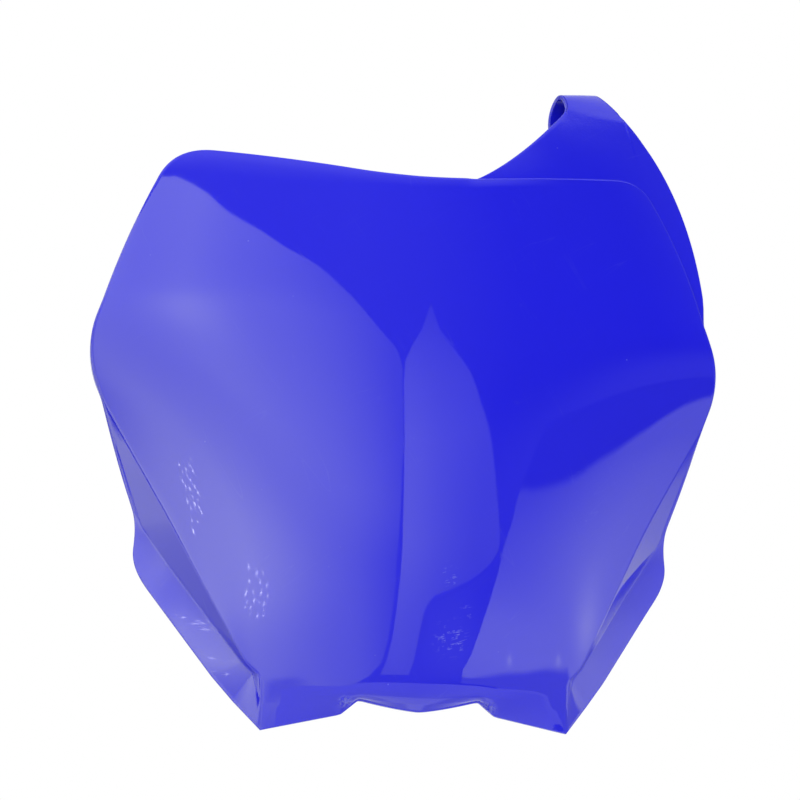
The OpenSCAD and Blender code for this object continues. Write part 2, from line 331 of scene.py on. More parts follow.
def sheet_normal(x, s):
    """Outward from the sheet's front: forwards on the fin."""
    h = 0.05
    a = sheet(x + h, s) - sheet(x - h, s)
    b = sheet(x, s + h) - sheet(x, s - h)
    n = np.cross(a, b)
    n /= np.linalg.norm(n)
    return n if s > FIN_UP or n[1] < 0 else -n


def thick(s):
    """The sheet's thickness, less over the hook."""
    return WALL - 0.4 * float(soft((s - FIN_UP + 12) / 14))


def behind(p, x, s):
    """The inner skin behind a point of the sheet's front."""
    return p - sheet_normal(x, s) * thick(s)


def back_sheet(x, s):
    return behind(sheet(x, s), x, s)


def unit(v):
    return v / np.maximum(np.linalg.norm(v, axis=-1, keepdims=True), 1e-9)


def skin_back(ring):
    """A ring's points on the inner skin."""
    a = np.array([away(p[0], p[2]) for p in ring])
    return np.stack([ring[:, 0] - a[:, 0] * ring[:, 3], ring[:, 1] + ring[:, 4],
                     ring[:, 2] - a[:, 1] * ring[:, 3]], 1)


fin_share = np.where(finned & (col_u <= N_WIDE), soft(col_u - N_FIN + 1) * soft(N_WIDE - col_u), 0.0)
face_in = face_ring.copy()
face_in[:, 3] = fold_ring[:, 3]
face_f, fold_f, free_f = face_ring[:, :3], fold_ring[:, :3], free_ring[:, :3].copy()
face_back, fold_back, free_back = skin_back(face_in), skin_back(fold_ring), skin_back(free_ring)


def strip_place(j, t):
    """x and height between the fold (t = 0) and the free edge (t = 1)."""
    return [fold_ring[j, k] * (1 - t) + free_ring[j, k] * t for k in (0, 2)]


def strip_point(j, t):
    """Front surface between the fold and the free edge: on the fin it follows the sheet."""
    p = fold_f[j] * (1 - t) + free_f[j] * t
    if fin_share[j] > 0:
        x, s = strip_place(j, t)
        p = p * (1 - fin_share[j]) + sheet(x, min(s, FIN_UP)) * fin_share[j]
    return p


for j in range(COUNT):
    if fin_share[j] > 0:
        free_f[j] = strip_point(j, 1.0)
        free_back[j] = free_f[j] + (free_back[j] - free_ring[j, :3])

# Free edge of the whole board, hook included.
RIM_R = 0.5     # rounding of the free edge
CORNER = 3.0    # rounding of the hook's two lower corners
HOOK_ROWS = 34
s_end = FIN_UP + ARCH + HOOK_LEAF
s_rows = [FIN_UP + (s_end - FIN_UP) * k / HOOK_ROWS for k in range(HOOK_ROWS + 1)]


def tab_x(j, s):
    """x across the hook for a column, narrower near its rounded end."""
    v = (free_ring[j, 0] - free_ring[j0, 0]) / (free_ring[j1, 0] - free_ring[j0, 0])
    d = max(s - (s_end - CORNER), 0.0)
    cut = CORNER - math.sqrt(max(CORNER ** 2 - d * d, 0.0))
    x = HOOK_LEFT + cut + (HOOK_W - 2 * cut) * v
    k = soft((s - FIN_UP) / 3.0)
    return free_ring[j, 0] * (1 - k) + x * k


edge_at, edge_p, edge_t, outward = {}, [], [], []


def edge_point(key, p, thickness, out):
    """Notes a point of the free edge, the way through the sheet there and the way outwards."""
    edge_at[key] = len(edge_p)
    edge_p.append(p)
    edge_t.append(thickness)
    outward.append(out)


def hook_point(key, j, s, dx, ds):
    """A point of the hook's free edge; dx and ds lead inwards from it."""
    x = tab_x(j, s)
    p = sheet(x, s)
    edge_point(key, p, back_sheet(x, s) - p, p - sheet(x + dx, s + ds))


for j in range(COUNT):
    if j == j0:
        for q, s in enumerate(s_rows):
            hook_point(("left", q), j, s, 2, 0)
        for k in range(j0 + 1, j1):
            hook_point(("end", k), k, s_end, 0, -2)
    elif j == j1:
        for q in range(HOOK_ROWS, -1, -1):
            hook_point(("right", q), j, s_rows[q], -2, 0)
    elif not j0 < j < j1:
        t = free_back[j] - free_f[j]
        if fin_share[j] > 0:
            x, s = free_ring[j, 0], min(free_ring[j, 2], FIN_UP)
            t = t * (1 - fin_share[j]) - fin_share[j] * sheet_normal(x, s) * thick(s)
        edge_point(("rim", j), free_f[j], t, free_f[j] - strip_point(j, 0.9))

edge_p, edge_t = np.array(edge_p), np.array(edge_t)
along_edge = unit(np.roll(edge_p, -1, 0) - np.roll(edge_p, 1, 0))
through = unit(edge_t)
out_of_edge = unit(np.cross(along_edge, through))
out_of_edge *= np.where((out_of_edge * np.array(outward)).sum(1) < 0, -1, 1)[:, None]
edge_front = edge_p - out_of_edge * RIM_R
edge_back = edge_front + edge_t


def last_row(edge, on_hook):
    """A skin's last row: along the free edge, and across the hook's foot."""
    hook_ends = {j0: ("left", 0), j1: ("right", 0)}
    row = np.zeros((COUNT, 3))
    for j in range(COUNT):
        if j0 < j < j1:
            row[j] = on_hook(tab_x(j, FIN_UP), FIN_UP)
        else:
            row[j] = edge[edge_at[hook_ends.get(j, ("rim", j))]]
    return row


def bezier(a, c, b, n):
    """Rows that turn from row a to row b round row c."""
    t = np.linspace(0, 1, n)[:, None, None]
    return list(a[None] * (1 - t) ** 2 + c[None] * 2 * t * (1 - t) + b[None] * t * t)


MID_UP = 5.0    # height of the face's middle, where its columns meet


def shrink(t, back):
    """The face at a share t of the way from its middle to its outline, one t for each column."""
    x = face_ring[:, 0] * t
    z = MID_UP + (face_ring[:, 2] - MID_UP) * t
    return np.stack([x, face_y(x, z) + back, z], 1)


# Front: the face, its rounded outline, the rounded fold, then the strip out to the free edge.
FACE_ROWS, BACK_ROWS, STRIP_ROWS = 22, 14, 20
radius = np.linalg.norm(face_ring[:, [0, 2]] - arr(0, MID_UP), axis=1)
round_face = by_u([(0, 0.9), (36, 0.9), (43, 0.8), (55, 0.7), (58, 0.9), (60, 4.0), (63, 6.5), (68, 7.0)],
                  col_u)
round_fold = by_u([(0, 0.55), (36, 0.55), (43, 0.6), (68, 0.6)], col_u)
to_fold = np.linalg.norm(fold_f - face_f, axis=1)
to_free = np.linalg.norm(free_f - fold_f, axis=1)
t_face = 1 - round_face / radius
front = [shrink(t_face * (i / FACE_ROWS), 0) for i in range(1, FACE_ROWS)]
front += bezier(shrink(t_face, 0), face_f,
                face_f + unit(fold_f - face_f) * np.minimum(round_face, 0.48 * to_fold)[:, None], 7)
t_fold = np.minimum(round_fold, 0.45 * to_free) / to_free
fold_out = np.array([strip_point(j, t_fold[j]) for j in range(COUNT)])
front += bezier(fold_f - unit(fold_f - face_f) * np.minimum(round_fold, 0.45 * to_fold)[:, None],
                fold_f, fold_out, 5)
front_end = last_row(edge_front, sheet)
t_free = 1 - RIM_R / np.maximum(to_free, 1e-6)
for i in range(1, STRIP_ROWS):
    k = i / STRIP_ROWS
    row = fold_out + (front_end - fold_out) * k
    for j in np.flatnonzero(fin_share):
        p = strip_point(j, t_fold[j] + (t_free[j] - t_fold[j]) * k)
        p = p + (front_end[j] - strip_point(j, t_free[j])) * k ** 4
        row[j] = row[j] * (1 - fin_share[j]) + p * fin_share[j]
    front.append(row)
front.append(front_end)

# Back: the inner skin, from the middle to the free edge.
back_end = last_row(edge_back, back_sheet)
to_fold_back = np.linalg.norm(fold_back - face_back, axis=1)
to_free_back = np.linalg.norm(back_end - fold_back, axis=1)
t_back = 1 - (face_in[:, 3] + np.minimum(np.maximum(round_face, 1.6), radius * 0.1)) / radius
back = [shrink(t_back * (i / BACK_ROWS), WALL) for i in range(1, BACK_ROWS)]
back_round = np.minimum(np.maximum(round_face, 1.0), 0.45 * to_fold_back)
back += bezier(shrink(t_back, WALL), face_back,
               face_back + unit(fold_back - face_back) * back_round[:, None], 6)
fold_in = fold_back - unit(fold_back - face_back) * np.minimum(0.8, 0.45 * to_fold_back)[:, None]
fold_out = fold_back + unit(back_end - fold_back) * np.minimum(0.8, 0.4 * to_free_back)[:, None]
back += bezier(fold_in, fold_back, fold_out, 4)
for i in range(1, STRIP_ROWS):
    k = i / STRIP_ROWS
    row = fold_out + (back_end - fold_out) * k
    for j in np.flatnonzero(fin_share):
        t = t_fold[j] + (t_free[j] - t_fold[j]) * k
        x, s = strip_place(j, t)
        p = behind(strip_point(j, t), x, min(s, FIN_UP))
        end = behind(strip_point(j, t_free[j]), free_ring[j, 0], min(free_ring[j, 2], FIN_UP))
        w = fin_share[j] * float(soft(k * 5))
        row[j] = row[j] * (1 - w) + (p + (back_end[j] - end) * k ** 4) * w
    back.append(row)
back.append(back_end)

# The hook's sheets, front and back.
hook_front, hook_back = [], []
for q, s in enumerate(s_rows):
    across = [(edge_front[edge_at["left", q]], edge_back[edge_at["left", q]])]
    for j in range(j0 + 1, j1):
        if q == 0:
            across.append((front_end[j], back_end[j]))
        elif q == HOOK_ROWS:
            across.append((edge_front[edge_at["end", j]], edge_back[edge_at["end", j]]))
        else:
            across.append((sheet(tab_x(j, s), s), back_sheet(tab_x(j, s), s)))
    across.append((edge_front[edge_at["right", q]], edge_back[edge_at["right", q]]))
    hook_front.append([p[0] for p in across])
    hook_back.append([p[1] for p in across])

# The rounded free edge all round: a quarter turn off the front, then a quarter turn onto the back.
rim_rows = []
for start, sign, steps in ((edge_front, 1, range(5)), (edge_back, -1, range(4, -1, -1))):
    for k in steps:
        th = k / 4 * math.pi / 2
        rim_rows.append(start + (out_of_edge * math.sin(th) + sign * through * (1 - math.cos(th))) * RIM_R)


def to_row(p):
    """Plate mm to the row's metres, a hair inside the solid."""
    return (p[0] * 0.9994 / 1000, (p[1] + 0.04 - BOLT_BACK) / 1000, (p[2] - UPPER_UP) / 1000)


def add_faces(bm, grid, round_row=True, round_grid=False):
    """Joins a grid of points into faces, its rows and the grid itself closed where asked."""
    verts = [[bm.verts.new(to_row(p)) for p in row] for row in grid]
    if round_grid:
        verts.append(verts[0])
    for a, b in zip(verts, verts[1:]):
        for j in range(len(a) if round_row else len(a) - 1):
            k = (j + 1) % len(a)
            bm.faces.new((a[j], a[k], b[k], b[j]))
    return verts


def add_skin(bm, rows, back):
    """A skin of the board, closed in the middle by triangles."""
    verts = add_faces(bm, rows)
    middle = bm.verts.new(to_row((0, face_y(0, MID_UP) + back, MID_UP)))
    for j in range(COUNT):
        bm.faces.new((middle, verts[0][j], verts[0][(j + 1) % COUNT]))


def shelf_outline(y_end, root_y, root_w, end_r):
    """The shelf from above: a round end and a wide root, as their convex hull."""
    pts = [(end_r * math.cos(t), y_end + end_r * math.sin(t)) for t in np.linspace(0, 2 * math.pi, 181)]
    pts = sorted(set(pts + [(x * root_w / 2, root_y + y) for x in (-1, 1) for y in (0, 1)]))
    hull = []
    for side in (pts, pts[::-1]):
        start = len(hull)
        for p in side:
            while len(hull) - start >= 2:
                a, b = hull[-2], hull[-1]
                if (b[0] - a[0]) * (p[1] - a[1]) - (b[1] - a[1]) * (p[0] - a[0]) > 0:
                    break
                hull.pop()
            hull.append(p)
        hull.pop()
    return hull


def shelf_rows(z, y_end, hole_d, root_w, end_r, bevel=0.35, count=120):
    """Rings of a drilled shelf: from the hole's lower rim round the outside to its upper rim."""
    hull = shelf_outline(y_end, face_y(root_w / 2, z) + 0.7, root_w, end_r)
    spokes = []
    for i in range(count):
        dx, dy = math.cos(2 * math.pi * i / count), math.sin(2 * math.pi * i / count)
        reach = 1e9
        for a, b in zip(hull, hull[1:] + hull[:1]):
            ex, ey = b[0] - a[0], b[1] - a[1]
            den = dx * ey - dy * ex
            if abs(den) > 1e-9:
                r = (a[0] * ey - (a[1] - y_end) * ex) / den
                if r > 0:
                    reach = min(reach, r)
        spokes.append((dx, dy, reach))

    def hole(out, dz):
        r = hole_d / 2 + out
        return [arr(dx * r, y_end + dy * r, z + dz) for dx, dy, reach in spokes]

    def side(cut, dz):
        return [arr(dx * (reach - cut), y_end + dy * (reach - cut), z + dz) for dx, dy, reach in spokes]

    h = SHELF_T / 2
    return [hole(0, -h + 0.25), hole(0.08, -h + 0.08), hole(0.25, -h), side(bevel, -h),
            side(bevel * 0.3, -h + bevel * 0.3), side(0, -h + bevel), side(0, h - bevel),
            side(bevel * 0.3, h - bevel * 0.3), side(bevel, h), hole(0.25, h), hole(0.08, h - 0.08),
            hole(0, h - 0.25)]


def rib_rows(x, z, poly, t=2.4, bevel=0.3):
    """A rib as slices across its thickness."""
    poly = np.array(poly, float)
    mid = poly.mean(0)
    sides = zip(poly, np.roll(poly, -1, 0))
    fine = np.array([a + (b - a) * q for a, b in sides for q in (0, 0.25, 0.5, 0.75)])
    off = fine - mid
    rows = []
    for dx, cut in ((-t / 2, bevel), (-t / 2 + bevel * 0.3, bevel * 0.3), (-t / 2 + bevel, 0),
                    (t / 2 - bevel, 0), (t / 2 - bevel * 0.3, bevel * 0.3), (t / 2, bevel)):
        slim = mid + off * (1 - cut / np.linalg.norm(off, axis=1, keepdims=True))
        rows.append([arr(x + dx, p[0], z + p[1]) for p in slim])
    return rows


def add_shelf(bm, z, y_end, hole_d, root_w, end_r, rib_x, rib_h):
    """A drilled shelf on the back, with a rib on each side under it."""
    add_faces(bm, shelf_rows(z, y_end, hole_d, root_w, end_r), round_grid=True)
    y_up, y_low = face_y(rib_x, z) + WALL / 2, face_y(rib_x, z - rib_h) + WALL / 2
    poly = [(y_low, -rib_h), (y_up, 0.4 - SHELF_T / 2), (y_end - end_r, 0.4 - SHELF_T / 2),
            (y_end - end_r - 3, -SHELF_T / 2 - 1.5)]
    for side in (-1, 1):
        rows = add_faces(bm, rib_rows(side * rib_x, z, poly))
        bm.faces.new(rows[0])
        bm.faces.new(rows[-1][::-1])


bm = bmesh.new()
add_skin(bm, front, 0)
add_skin(bm, back, WALL)
add_faces(bm, hook_front, round_row=False)
add_faces(bm, hook_back, round_row=False)
add_faces(bm, rim_rows)
bmesh.ops.remove_doubles(bm, verts=bm.verts, dist=2e-6)
add_shelf(bm, UPPER_UP, BOLT_BACK - 0.05, hole_d=6.6, root_w=40, end_r=10, rib_x=11, rib_h=20)
add_shelf(bm, -LOWER_DOWN, PIN_BACK - 0.05, hole_d=9, root_w=30, end_r=10, rib_x=9, rib_h=16)
bmesh.ops.recalc_face_normals(bm, faces=bm.faces)
mesh = bpy.data.meshes.new("board")
bm.to_mesh(mesh)
open_edges = sum(1 for e in bm.edges if len(e.link_faces) != 2)
print("board faces", len(bm.faces), "edges not shared by two faces", open_edges)
bm.free()
mesh.polygons.foreach_set("use_smooth", [True] * len(mesh.polygons))
board = bpy.data.objects.new("board", mesh)
bpy.context.scene.collection.objects.link(board)

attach(board, "root")
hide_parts("number_board")

# Camera: the photograph's angle, fitted in plate coordinates and moved to the row's.
FOCAL = 1400.0      # focal length in pixels of the 800-pixel picture
YAW, PITCH, ROLL = math.radians(9.533), math.radians(-18.477), math.radians(-0.124)
AIM_X, AIM_Z, DIST = 6.470, -10.685, 549.66
tilt = Matrix.Rotation(PITCH, 3, "X")
turned = tilt @ Matrix.Rotation(YAW, 3, "Z")    # x right, y away from the camera, z up
eye = turned.transposed() @ Vector((-AIM_X, -DIST, -AIM_Z))
right, forward, up = turned[0], turned[1], turned[2]
rolled_right = right * math.cos(ROLL) + up * math.sin(ROLL)
rolled_up = up * math.cos(ROLL) - right * math.sin(ROLL)
camera_data = bpy.data.cameras.new("camera")
camera_data.sensor_fit = "AUTO"
camera_data.sensor_width = 36.0
camera_data.lens = camera_data.sensor_width * FOCAL / 800.0
camera_data.clip_start = 0.02
camera_data.clip_end = 20
camera = bpy.data.objects.new("camera", camera_data)
camera_place = Matrix((rolled_right, rolled_up, -forward)).transposed().to_4x4()
camera_place.translation = (eye - Vector((0, BOLT_BACK, UPPER_UP))) / 1000
camera.matrix_world = camera_place
scene = bpy.context.scene
scene.collection.objects.link(camera)
scene.camera = camera
scene.view_settings.view_transform = "Standard"

# World: white to the camera and in the gloss, and a weaker white that lights the board.
AMBIENT = 0.35
world = bpy.data.worlds.new("studio")
scene.world = world
world.use_nodes = True
world_tree = world.node_tree
world_tree.nodes.clear()


def put_in(tree, kind, inputs=(), **props):
    """A new shader node; inputs are pairs of a socket and the value or the output that feeds it."""
    n = tree.nodes.new("ShaderNode" + kind)
    for k, v in props.items():
        setattr(n, k, v)
    for key, v in inputs:
        if isinstance(v, bpy.types.NodeSocket):
            tree.links.new(v, n.inputs[key])
        else:
            n.inputs[key].default_value = v
    return n


rays = put_in(world_tree, "LightPath").outputs
white = put_in(world_tree, "Background", [(0, (1, 1, 1, 1)), (1, 1.0)]).outputs[0]
ambient = put_in(world_tree, "Background", [(0, (1, 1, 1, 1)), (1, AMBIENT)]).outputs[0]
seen = rays["Is Camera Ray"]
for kind in ("Is Glossy Ray", "Is Transmission Ray"):
    seen = put_in(world_tree, "Math", [(0, seen), (1, rays[kind])], operation="MAXIMUM").outputs[0]
mixed = put_in(world_tree, "MixShader", [(0, seen), (1, ambient), (2, white)]).outputs[0]
put_in(world_tree, "OutputWorld", [(0, mixed)])

# Lamps and cloths of the studio, as glowing cards that only the gloss sees. A separate program worked out
# their borders' angles from places read off the reflections in the photograph.
WHITE = (1, 1, 1, 1)
WARM = (1, 1, 0.3, 1)
DOME_MIDDLE = arr(0, 0, -0.04)
FAR, NEAR = 2.5, 0.24   # distances in metres of the far and the near cards
LEFT_END, RIGHT_END = -130, 110     # where the two side lamps end, in degrees
SUN_ANGLE = 40          # how soft the far lamps are, in degrees


def stage_mesh(name, verts, faces, glow, colour=WHITE, clear=False):
    """A mesh with a glow of its own at each point; a clear one adds to what is behind it."""
    me = bpy.data.meshes.new(name)
    me.from_pydata([tuple(v) for v in verts], [], faces)
    me.attributes.new("glow", "FLOAT", "POINT").data.foreach_set("value", np.array(glow, np.float32))
    ob = bpy.data.objects.new(name, me)
    scene.collection.objects.link(ob)
    paint = bpy.data.materials.new(name)
    paint.use_nodes = True
    tree = paint.node_tree
    tree.nodes.clear()
    strength = put_in(tree, "Attribute", attribute_name="glow").outputs["Fac"]
    light = put_in(tree, "Emission", [("Color", colour), ("Strength", strength)]).outputs[0]
    if clear:
        see = put_in(tree, "BsdfTransparent").outputs[0]
        light = put_in(tree, "AddShader", [(0, light), (1, see)]).outputs[0]
    put_in(tree, "OutputMaterial", [("Surface", light)])
    me.materials.append(paint)
    for kind in ("camera", "diffuse", "transmission", "volume_scatter", "shadow"):
        setattr(ob, "visible_" + kind, False)


def direction(az, el):
    """Angles round the board and up, from straight in front of it."""
    a, e = math.radians(az), math.radians(el)
    return arr(math.cos(e) * math.sin(a), -math.cos(e) * math.cos(a), math.sin(e))


def card(name, rows, glow, r=FAR, step=1.0, n=48, colour=WHITE, clear=False):
    """A curved card: rows are height angle, left and right angle; glow gives its strength at a place."""
    rows = sorted(rows)
    els = [p[0] for p in rows]
    low, high = els[0], els[-1]
    count = max(int(round((high - low) / step)), 1)
    verts, strengths = [], []
    for i in range(count + 1):
        el = low + (high - low) * i / count
        a = float(np.interp(el, els, [p[1] for p in rows]))
        b = float(np.interp(el, els, [p[2] for p in rows]))
        for k in range(n + 1):
            az = a + (b - a) * k / n
            verts.append(DOME_MIDDLE + r * direction(az, el))
            strengths.append(glow(az, el))
    faces = [(i * (n + 1) + k, i * (n + 1) + k + 1, (i + 1) * (n + 1) + k + 1, (i + 1) * (n + 1) + k)
             for i in range(count) for k in range(n)]
    stage_mesh(name, verts, faces, strengths, colour, clear)


def curve(x, *pairs):
    """The value at x of a line through pairs of a place and a value."""
    return float(np.interp(x, [p[0] for p in pairs], [p[1] for p in pairs]))


def bump(x, mid, half):
    """1 at mid, fading out on both sides."""
    return math.exp(-((x - mid) / half) ** 2)


def ramp(x, at, wide):
    """0 below at, 1 above it, with a soft border as wide as stated."""
    return float(soft((x - at) / wide + 0.5))


# Levels at three heights. A separate program fitted those from -60 to 5 degrees, and the first two lights
# of glow_near, to brightness measured in the photograph. They were then rounded and adjusted by hand.
def glow_left(az, el):
    low = curve(az, (-130, 1.1), (-116, 1.4), (-104, 2.1), (-98, 2.6), (-92, 3.6), (-84, 4.3), (-82, 0.4),
                (-77, 0.4), (-75, 4.0), (-68, 4.0), (-60, 1.8), (-45, 3.4), (-36, 3.0), (-28, 2.5),
                (-20, 2.1), (-12, 1.85), (-4, 1.25), (5, 0.6))
    high = curve(az, (-130, 1.2), (-104, 2.2), (-84, 3.4), (-82, 0.4), (-77, 0.4), (-75, 2.4), (-60, 1.9),
                 (-54, 2.3), (-49.5, 2.6), (-45, 3.2), (-36, 3.1), (-28, 3.5), (-20, 3.0), (-12, 2.5),
                 (-4, 1.85), (5, 1.0))
    top = curve(az, (-110, 2.6), (-60, 2.8), (-45, 3.3), (-36, 2.9), (-28, 3.2), (-20, 2.5), (-12, 2.0),
                (-4, 1.4), (5, 0.7))
    low *= 1 - 0.42 * ramp(-el, 15.5, 7) * ramp(-az, 30, 8) * ramp(az, -62, 14)
    v = low + (high - low) * ramp(el, 0.5, 9) + 1.1 * bump(az, -26.5, 5) * bump(el, 20, 9)
    return v + (top - v) * ramp(el, 29, 10)


LEFT_BORDER = [(-24, -14), (-15.4, -7.0), (-14.1, -4.4), (-11.1, -1.9), (-6.7, -0.2), (-2.3, 0.7), (2.3, 2.1),
               (6.9, 3.1), (11.6, 4.5), (16.5, 5.4), (20.2, 6.1), (22.6, 5.7), (24.8, 3.0), (29.3, -1.3),
               (32.0, -4.6), (33.8, -7.9), (35.3, -12.2), (37.3, -16.7), (39.5, -23), (41.2, -26),
               (42.6, -30), (43.2, -33)]
card("lamp_left", [(el, LEFT_END, az) for el, az in LEFT_BORDER], glow_left, n=96, colour=WARM)


# More light of the same lamp, close to the board.
def glow_near(az, el):
    v = 2.65 * bump(az, -72.3, 32.5) * bump(el, -20.7, 8.7) + 0.45 * bump(az, -45, 8.2) * bump(el, -6.5, 7.9)
    v += 2.2 * bump(az, -67, 4.5) * bump(el, -29.5, 5.5)
    return v * ramp(az, -76, 8) * (1 - ramp(az, -18, 14))


card("lamp_near", [(-42, -82, -10), (14, -82, -10)], glow_near, r=NEAR, colour=WARM, clear=True)


def glow_mid(az, el):
    across = curve(az, (2, 2.2), (8, 1.9), (14, 1.5), (20, 1.2), (27, 0.95), (36, 0.9))
    return across * curve(el, (-16, 0.6), (-8, 0.76), (0, 1.03), (12, 1.03), (20, 0.78), (28, 0.45))


card("lamp_middle", [(-16, -4.2, 5.6), (-14.3, -3.0, 6.6), (-11.1, -0.6, 8.4), (-7.8, 0.8, 10.2),
                     (-6.0, 1.3, 12.9), (-5.1, 1.6, 18.5), (-3.7, 2.0, 26.1), (-2.1, 2.4, 32.8),
                     (-0.5, 2.7, 35.9), (2.7, 3.1, 33.4), (6.9, 3.8, 29.9), (11.6, 4.7, 26.1),
                     (15.7, 5.5, 22.4), (19.6, 6.3, 19.4), (21.2, 6.7, 17.8), (23.5, 8.5, 15.4),
                     (25.4, 10.3, 13.5), (28.5, 12.0, 12.2)], glow_mid, colour=WARM)


# The right lamp stands close to the board: straight on its left, fading upwards.
def glow_right(az, el):
    top = curve(az, (38, -7), (41.7, -7.5), (45, -8.2), (50, -8.6), (55, -8.9), (58, -8.7), (61, -8.1),
                (64, -7.9), (67.8, -6.7), (69.7, -5.4), (71.3, -4.4), (73.6, -3.4), (80, -1.5), (110, 2))
    bottom = curve(az, (29, -40), (42, -37), (50, -35.7), (58, -33.7), (66, -32.7), (71, -37), (84, -37),
                   (90, -29), (110, -29))
    base = curve(el, (-44, 2.2), (-34, 2.6), (-28, 2.5), (-22, 2.15), (-16, 1.8), (-12, 1.5), (-9, 1.25))
    side = curve(az, (40, 0.75), (50, 0.85), (58, 1.0), (66, 1.2), (76, 1.2), (85, 1.0), (88, 0.4),
                 (93, 0.4), (96, 0.85), (105, 0.77), (110, 0.62))
    v = base * (side + (1 - side) * float(soft((-18 - el) / 12)))
    v += 1.5 * bump(az, 71.5, 4) * bump(el, -25, 5)
    v += 1.6 * bump(az, 44.1, 0.9) * bump(el, -34.2, 0.9) + 1.4 * bump(az, 62.3, 0.9) * bump(el, -31.7, 0.9)
    v = 0.95 + (v - 0.95) * ramp(el, bottom, 1.8)
    below_top = 1 - ramp(el, top, 1.8)
    return v * below_top + 0.25 * (1 - below_top)


RIGHT_BORDER = [(-44, 25.5), (-38, 25.5), (-34.9, 28.5), (-30.3, 31.6), (-24.3, 35.3), (-20.1, 37.6),
                (-15.9, 38.9), (-12.4, 40.6), (-8.5, 40.9), (-7, 41.5), (2, 43)]
card("lamp_right", [(el, az, RIGHT_END) for el, az in RIGHT_BORDER], glow_right, r=NEAR, step=0.4, n=170,
     colour=WARM)


def glow_cloth(az, el):
    low = curve(az, (-150, 0.5), (-20, 0.6), (10, 0.5), (30, 0.35), (60, 0.4), (100, 0.9), (115, 1.3),
                (130, 1.1), (150, 0.9))
    high = curve(az, (-150, 0.5), (-20, 0.45), (0, 0.45), (12, 0.36), (28, 0.16), (50, 0.1), (75, 0.3),
                 (150, 0.3))
    v = low + (high - low) * ramp(el, 10, 10) + 0.3 * bump(az, 22, 12) * bump(el, -11, 6)
    v += 0.8 * ramp(el, 46, 3) * (1 - ramp(az, 35, 20))
    lid = 1.15 - 0.35 * ramp(az, 75, 20)
    return v + (lid - v) * ramp(el, 53, 5)


def glow_table(az, el):
    round_it = curve(az, (-180, 1.25), (-60, 1.7), (-20, 1.6), (10, 1.35), (32, 1.65), (42, 1.45), (55, 1.2),
                     (75, 1.0), (100, 1.0), (180, 1.25))
    off_middle = ramp(el, -72, 6)
    return round_it * off_middle + 2.1 * (1 - off_middle)


card("dark_cloth", [(-24, -150, 150), (80, -150, 150)], glow_cloth, r=FAR + 0.1, step=2, n=150)
card("wall_right", [(-24, 36, 125), (-13, 40, 125)], lambda az, el: 1.5, r=FAR + 0.02, step=2, n=24)
card("table", [(-89, -180, 180), (-22, -180, 180)], glow_table, r=FAR + 0.05, step=3, n=72)


def sparks(name, start, across, down, rows, cols, lean, glow, size=1.0):
    """Small lights in rows: start, across and down are angles, the last two for one step of the pattern."""
    verts, faces = [], []
    for i in range(rows):
        for j in range(cols):
            if (3 * i + 5 * j + rows) % 7 == 0:
                continue
            x = j + 0.22 * math.sin(2.3 * i + 1.1 * j)
            y = i + 0.18 * math.sin(1.7 * j + 0.9 * i)
            tall = 0.17 + 0.09 * math.sin(4.1 * i + 2.7 * j)
            for p, q in ((-0.1, -tall), (0.1, -tall), (0.1, tall), (-0.1, tall)):
                u, v = x + (p + lean * q) * size, y + q * size
                az, el = [start[c] + across[c] * u + down[c] * v for c in (0, 1)]
                verts.append(DOME_MIDDLE + (NEAR - 0.005) * direction(az, el))
            k = len(verts) - 4
            faces.append((k, k + 1, k + 2, k + 3))
    stage_mesh(name, verts, faces, [glow] * len(verts))


sparks("lights_upper", (-63.3, -16.3), (1.6, 0.55), (-0.46, -0.5), 9, 3, 0.3, 18.0)
sparks("lights_lower", (-53.8, -21.8), (1.95, -0.24), (-0.5, -0.93), 6, 4, -0.35, 15.0)
sparks("lights_flank", (-66.7, -28.2), (1.2, -2.3), (-1.8, -3.4), 2, 2, 0.2, 12.0, size=0.35)


def sun(name, az, el, level):
    """A large soft lamp far off: level is what it gives to a face square to it."""
    lamp = bpy.data.lights.new(name, "SUN")
    lamp.energy = math.pi * level
    lamp.angle = math.radians(SUN_ANGLE)
    ob = bpy.data.objects.new(name, lamp)
    toward = Vector(direction(az, el))
    ob.location = toward * 3
    ob.rotation_mode = "QUATERNION"
    ob.rotation_quaternion = toward.to_track_quat("Z", "Y")
    ob.visible_glossy = False
    ob.visible_camera = False
    scene.collection.objects.link(ob)


sun("soft_left", -35, 28, 0.13)
sun("soft_right", 35, 5, 0.36)
sun("soft_top", -45, 58, 0.42)

# A plain pale floor below the board, which the gloss doesn't see.
FLOOR_Z, FLOOR_R, FLOOR_SIDES = -0.45, 3.4, 96
floor_mesh = bpy.data.meshes.new("floor")
floor_turns = [math.tau * i / FLOOR_SIDES for i in range(FLOOR_SIDES)]
floor_rim = [(FLOOR_R * math.cos(a), FLOOR_R * math.sin(a), FLOOR_Z) for a in floor_turns]
floor_mesh.from_pydata(floor_rim, [], [range(FLOOR_SIDES)])
floor = bpy.data.objects.new("floor", floor_mesh)
scene.collection.objects.link(floor)
floor_paint = bpy.data.materials.new("floor")
floor_paint.use_nodes = True
floor_inputs = floor_paint.node_tree.nodes["Principled BSDF"].inputs
floor_inputs["Base Color"].default_value = (0.9, 0.9, 0.9, 1)
floor_inputs["Roughness"].default_value = 0.8
floor_inputs["Specular IOR Level"].default_value = 0.0
floor_mesh.materials.append(floor_paint)
floor.visible_glossy = False

# Glossy moulded plastic with what use leaves on it, and painted shade round the fin and the hook.
plastic = bpy.data.materials.new("blue_plastic")
plastic.use_nodes = True
plastic_tree = plastic.node_tree
plastic_inputs = plastic_tree.nodes["Principled BSDF"].inputs
plastic_inputs["IOR"].default_value = 1.49
coordinates = plastic_tree.nodes.new("ShaderNodeTexCoord").outputs
place = coordinates["Object"]


def put(kind, inputs, **props):
    return put_in(plastic_tree, kind, inputs, **props)


